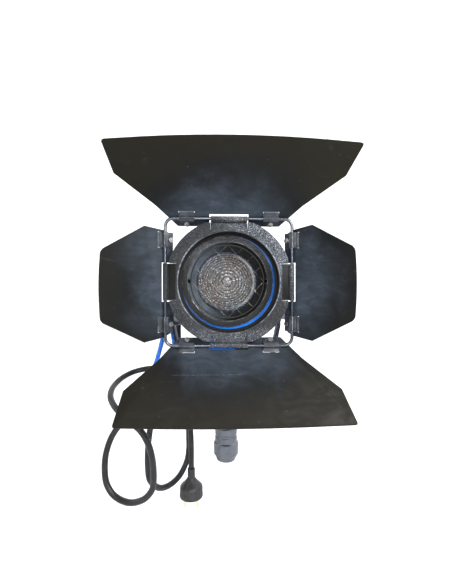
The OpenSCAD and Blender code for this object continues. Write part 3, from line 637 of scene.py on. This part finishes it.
def plated_brass():
    m = Material("plated_brass")
    rub = m.spread(m.noise(260, 4), 0.45, 0.7)
    m.set(Base_Color=m.mix(rub, (0.72, 0.66, 0.52), (0.74, 0.58, 0.30)), Metallic=1.0)
    m.set(Roughness=m.between(rub, 0.2, 0.36))
    return m.relief(m.noise(900, 2), 0.00005, 0.5)


def pale_floor():
    m = Material("pale_floor")
    m.set(Base_Color=m.mix(m.noise(3, 2), (0.86, 0.86, 0.86), (0.90, 0.90, 0.90)), Roughness=0.9)
    return m.material


PAINTS = {
    "black_satin": black_satin(),
    "clip_grey": clip_grey(),
    "black_wrinkle": black_wrinkle(),
    "blue_paint": blue_paint(),
    "grey_paint": grey_paint(),
    "knob_plastic": knob_plastic(),
    "cable_rubber": cable_rubber(),
    "blue_cord": blue_cord(),
    "lens_glass": lens_glass(),
    "lamp_glass": lamp_glass(),
    "lamp_ceramic": ceramic(),
    "bare_aluminium": bare_aluminium(),
    "reflector_metal": reflector_metal(),
    "plug_metal": plated_brass(),
    "satin_steel": turned_steel("satin_steel", UP, (0.125, 0.135, 0.155), 0.34),
    "dark_wire": guard_wire(),
}
LENS_RING_BLACK = lens_ring_black()
COLLAR_BLACK = collar_black()
ROD_STEEL = turned_steel("rod_steel", UP, (0.105, 0.112, 0.125), 0.22)
SCREW_BLACK = turned_steel("screw_black", FORWARD, (0.28, 0.29, 0.30), 0.24)
EDGES = {
    "black_satin": worn_edge("black_satin_edge", (0.05, 0.045, 0.034), (0.42, 0.38, 0.29), 0.52),
    "clip_grey": worn_edge("clip_grey_edge", (0.10, 0.105, 0.115), (0.46, 0.47, 0.48), 0.56),
    "black_wrinkle": worn_edge("black_wrinkle_edge", (0.03, 0.032, 0.037), (0.42, 0.44, 0.47), 0.55),
    "blue_paint": worn_edge("blue_paint_edge", (0.02, 0.24, 0.85), (0.30, 0.46, 0.75), 0.38),
    "grey_paint": worn_edge("grey_paint_edge", (0.20, 0.21, 0.23), (0.5, 0.5, 0.5), 0.42),
}
# Nodes that don't have their slot's look
SPECIAL = {
    "lens_ring": LENS_RING_BLACK,
    "barndoor_collar": COLLAR_BLACK,
    "wire_frame": ROD_STEEL,
}
SLOT = {s["node"]: s["material_slot"] for s in frame["record"]["subparts"]}
BODY = {n: body for body, nodes in frame["record"]["behaviour"]["bodies"].items() for n in nodes}


# ---------------------------------------------------------------- cords

def add_power_cable():
    """The mains cable, in loops down the side of the yoke."""
    line, length = smooth_line(CABLE_ROUTE, 0.003)
    vertices, faces = tube_mesh(line, CABLE_D / 2, 18)
    cable = add_piece("power_cable_tube", vertices, faces, None, PAINTS["cable_rubber"])
    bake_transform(cable)
    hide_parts("power_cable")
    add_plug_body()


def add_plug_body():
    """A round plug with a ribbed relief on top and a gripped shell."""
    end = Vector(CABLE_ROUTE[-1])
    place = Matrix.Translation(end) @ Matrix.Rotation(math.pi, 4, "X")
    relief = [(0.0052 + 0.0007 * (i % 2), 0.0011 * i) for i in range(14)]
    shell = [(0.0068, 0.0158), (0.0085, 0.0185), (0.0118, 0.0220), (0.0152, 0.0252), (0.0172, 0.0276),
             (0.0177, 0.0300), (0.0177, 0.0385), (0.0180, 0.0392), (0.0180, 0.0424), (0.0176, 0.0434),
             (0.0166, 0.0438), (0.0158, 0.0434), (0.0, 0.0434)]

    def grip(r, z, angle):
        inside = 0.028 < z < 0.039
        return r - (0.0008 if inside and math.cos(24 * angle) > 0.2 else 0.0)

    vertices, faces = lathe_mesh([(0.0, 0.0)] + relief + shell, 96, place, grip)
    plug = add_piece("plug_shell", vertices, faces, "yoke", PAINTS["knob_plastic"])
    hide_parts("plug_body")
    return plug


def braid(i, k):
    """What crossing strands add to the cord's radius at side k of ring i."""
    lay = i * 0.42
    turn = 2 * math.pi * k / SLING_SIDES
    return 0.00022 * max(math.sin(4 * turn + lay), math.sin(4 * turn - lay)) - 0.00012


def add_sling():
    """The blue cord that the cable hangs from."""
    line, length = smooth_line(SLING_ROUTE, 0.0011)
    vertices, faces = tube_mesh(line, SLING_D / 2, SLING_SIDES, ripple=braid)
    sling = add_piece("cable_sling_cord", vertices, faces, "yoke", PAINTS["blue_cord"])
    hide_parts("cable_sling")
    add_knot()


def add_knot():
    """Three-lobed knot that joins the cord's two ends."""
    centre = (Vector(SLING_ROUTE[0]) + Vector(SLING_ROUTE[-1])) / 2
    turn = Matrix.Rotation(math.radians(35), 3, "X") @ Matrix.Rotation(math.radians(20), 3, "Z")
    size, count = 0.00128, 150
    line = []
    for i in range(count):
        t = 2 * math.pi * i / count
        x = math.sin(t) + 2 * math.sin(2 * t)
        y = math.cos(t) - 2 * math.cos(2 * t)
        line.append(centre + turn @ (Vector((x, y, -1.6 * math.sin(3 * t))) * size))
    tight_r = SLING_D / 2 - 0.0004
    vertices, faces = tube_mesh(line, tight_r, SLING_SIDES, closed=True, ripple=braid)
    knot = add_piece("sling_knot_loops", vertices, faces, "yoke", PAINTS["blue_cord"])
    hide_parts("sling_knot")
    return knot


add_power_cable()
add_sling()


# ---------------------------------------------------------------- nodes with rounded edges

def refine(node, width):
    """Replaces a node by a copy whose sharp edges are rounded, with worn paint on them."""
    paint = SPECIAL.get(node) or PAINTS[SLOT[node]]
    edge = EDGES.get(SLOT[node]) or paint
    if node.endswith("_clips"):
        paint, edge = PAINTS["clip_grey"], EDGES["clip_grey"]
    mesh = frame["nodes"][node].data.copy()
    mesh.name = node + "_detail"
    shape = bmesh.new()
    shape.from_mesh(mesh)
    bmesh.ops.remove_doubles(shape, verts=shape.verts, dist=2e-6)
    bmesh.ops.dissolve_limit(shape, angle_limit=math.radians(0.6), verts=shape.verts, edges=shape.edges)
    shape.to_mesh(mesh)
    shape.free()
    mesh.materials.clear()
    mesh.materials.append(paint)
    mesh.materials.append(edge)
    mesh.polygons.foreach_set("material_index", [0] * len(mesh.polygons))
    mesh.polygons.foreach_set("use_smooth", [True] * len(mesh.polygons))
    piece = bpy.data.objects.new(node + "_detail", mesh)
    bpy.context.collection.objects.link(piece)
    bevel = piece.modifiers.new("rounded", "BEVEL")
    bevel.limit_method = "ANGLE"
    bevel.angle_limit = math.radians(28)
    bevel.width = width
    bevel.segments = 2
    bevel.material = 1
    bevel.use_clamp_overlap = True
    bevel.harden_normals = True
    bpy.context.view_layer.update()
    rounded = piece.evaluated_get(bpy.context.evaluated_depsgraph_get())
    finished = bpy.data.meshes.new_from_object(rounded)
    piece.modifiers.clear()
    piece.data = finished
    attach(piece, BODY[node])
    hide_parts(node)


SIDES = ("top", "bottom", "left", "right")
# Nodes by the width of their rounded edges
ROUNDED = {
    0.0005: ["receiver", "tilt_knob", "receiver_screw", "focus_knob_front", "focus_knob_rear",
             "pivot_bosses", "front_casting", "gland_boss", "base_box", "rear_casting"],
    0.0003: ["yoke", "vent_cover", "housing", "receiver_bolt", "pivot_nut", "accessory_brackets",
             "door_hinge", "door_knuckles", "latch_mount", "accessory_latch", "barndoor_ring", "lens_ring"],
    0.00018: [f"leaf_{side}{part}" for side in SIDES for part in ("", "_clips")],
}
for width, nodes in ROUNDED.items():
    for node in nodes:
        refine(node, width)


# ---------------------------------------------------------------- lens and guard

def add_lens():
    """Stepped front face with pebbles pressed into it, and a plain back."""
    face, back, cuts = -LENS_FACE_Y, -LENS_BACK_Y, 8
    profile = []
    for i in range(LENS_STEPS):
        inner, outer = (LENS_R * (k / LENS_STEPS) ** LENS_POWER for k in (i, i + 1))
        drop = 0.62 * outer / LENS_R * (outer - inner)
        for k in range(cuts + 1):
            u = k / cuts
            profile.append((inner + (outer - inner) * u * 0.98, face - drop * u ** 1.6))
    profile += [(LENS_R, back + LENS_EDGE), (LENS_R - LENS_EDGE, back), (0.0, back)]
    vertices, faces = lathe_mesh(profile, 192, looking_forward(SEAT))
    lens = add_piece("lens_stepped", vertices, faces, "lens_door", PAINTS["lens_glass"])
    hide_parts("lens")


def add_guard():
    """Thin wires welded across a ring, each bent a little where it crosses the others."""
    place = looking_forward(SEAT)
    vertices, faces = [], []

    def add_wire(line, radius, closed=False):
        points, quads = tube_mesh([place @ p for p in line], radius, 8, closed)
        start = len(vertices)
        vertices.extend(points)
        faces.extend(tuple(start + v for v in face) for face in quads)

    rim = []
    for i in range(96):
        angle = 2 * math.pi * i / 96
        rim.append(Vector((GUARD_R * math.cos(angle), GUARD_R * math.sin(angle), -GUARD_Y)))
    add_wire(rim, GUARD_RIM_R, True)
    for layer in (0, 1):
        turn = Matrix.Rotation(math.radians(45 + 90 * layer), 3, "Z")
        for i in range(-2, 3):
            across = i * GUARD_PITCH
            half = math.sqrt(GUARD_R ** 2 - across ** 2)
            line = []
            for k in range(41):
                s = half * (k / 20 - 1)
                weave = 0.00035 * math.cos(math.pi * s / GUARD_PITCH + math.pi * (i + layer))
                line.append(turn @ Vector((across, s, 0)) + Vector((0, 0, -GUARD_Y + weave)))
            add_wire(line, GUARD_WIRE_R)
    guard = add_piece("wire_guard_mesh", vertices, faces, "lens_door", PAINTS["dark_wire"])
    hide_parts("wire_guard")


add_lens()
add_guard()


# ---------------------------------------------------------------- cable gland

def add_gland():
    """A hexagon nut and a ribbed relief that tapers down the cable."""
    place = Matrix.Translation(GLAND_TOP) @ Matrix.Rotation(math.pi + GLAND_TILT, 4, "Y")
    profile = [(0.0, 0.0), (0.0074, 0.0), (0.0078, 0.0004), (0.0078, 0.0056), (0.0074, 0.0060),
               (0.0068, 0.0068)]
    for i in range(GLAND_RIBS):
        z = 0.0078 + (GLAND_LENGTH - 0.0090) * i / GLAND_RIBS
        r = 0.0066 - 0.0016 * i / GLAND_RIBS
        groove = r - 0.0006
        profile += [(r, z), (r, z + 0.0011), (groove, z + 0.0013), (groove, z + 0.0018)]
    profile += [(0.0049, GLAND_LENGTH - 0.0006), (0.0047, GLAND_LENGTH), (0.0, GLAND_LENGTH)]

    def flats(r, z, angle):
        if not 0.0003 < z < 0.0057:
            return r
        step = math.pi / 3
        return min(r, 0.0070 / math.cos((angle % step) - step / 2))

    vertices, faces = lathe_mesh(profile, 72, place, flats)
    gland = add_piece("cable_gland_ribbed", vertices, faces, "head", PAINTS["knob_plastic"])
    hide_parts("cable_gland")


add_gland()


# ---------------------------------------------------------------- materials on the other nodes

def paint_nodes():
    """Gives the nodes that are shown as packed their looks."""
    for node, thing in frame["nodes"].items():
        paint = SPECIAL.get(node) or PAINTS[SLOT[node]]
        if node.endswith("_screws"):
            paint = SCREW_BLACK
        for socket in thing.material_slots:
            socket.material = paint


paint_nodes()


# ---------------------------------------------------------------- floor and light

def add_stage():
    """A pale sweep: floor, quarter round and wall in one sheet."""
    floor_z, near_y, wall_y, wall_z, bend, half = -0.10, -2.5, 1.3, 3.0, 0.6, 3.0
    line = [(near_y, floor_z)]
    for i in range(17):
        angle = math.pi / 2 * i / 16
        y = wall_y - bend + bend * math.sin(angle)
        line.append((y, floor_z + bend - bend * math.cos(angle)))
    line.append((wall_y, wall_z))
    vertices = [(x, y, z) for y, z in line for x in (-half, half)]
    faces = [(2 * i, 2 * i + 1, 2 * i + 3, 2 * i + 2) for i in range(len(line) - 1)]
    mesh = bpy.data.meshes.new("sweep")
    mesh.from_pydata(vertices, [], faces)
    mesh.polygons.foreach_set("use_smooth", [True] * len(mesh.polygons))
    mesh.materials.append(pale_floor())
    sweep = bpy.data.objects.new("sweep", mesh)
    bpy.context.collection.objects.link(sweep)


def add_light(name, place, target, size, watts):
    """A square area light."""
    light = bpy.data.lights.new(name, "AREA")
    light.shape = "RECTANGLE"
    light.size = light.size_y = size
    light.energy = watts
    lamp = bpy.data.objects.new(name, light)
    lamp.location = place
    lamp.rotation_euler = (Vector(target) - Vector(place)).to_track_quat("-Z", "Y").to_euler()
    bpy.context.collection.objects.link(lamp)


def add_lights():
    """A key light from the right, with weaker lights for the shaded side and the wall."""
    middle, wall = (0, -0.05, 0.2), (0, 1.3, 0.5)
    add_light("key", (1.1, -1.2, 1.1), middle, 0.5, 38)
    add_light("front", (0.05, -1.6, 0.6), middle, 0.4, 12)
    add_light("fill", (-1.4, -0.7, 0.7), middle, 0.8, 9)
    add_light("top", (0.0, 0.3, 1.7), middle, 1.2, 10)
    add_light("wall_left", (-1.6, 0.2, 1.2), wall, 1.0, 16)
    add_light("wall_right", (1.6, 0.2, 1.2), wall, 1.0, 16)
    world = bpy.data.worlds.new("studio")
    world.use_nodes = True
    sky = world.node_tree.nodes["Background"]
    sky.inputs["Color"].default_value = (0.92, 0.95, 1.0, 1)
    sky.inputs["Strength"].default_value = 0.35
    bpy.context.scene.world = world
    bpy.context.scene.view_settings.view_transform = "Standard"


add_stage()
add_lights()
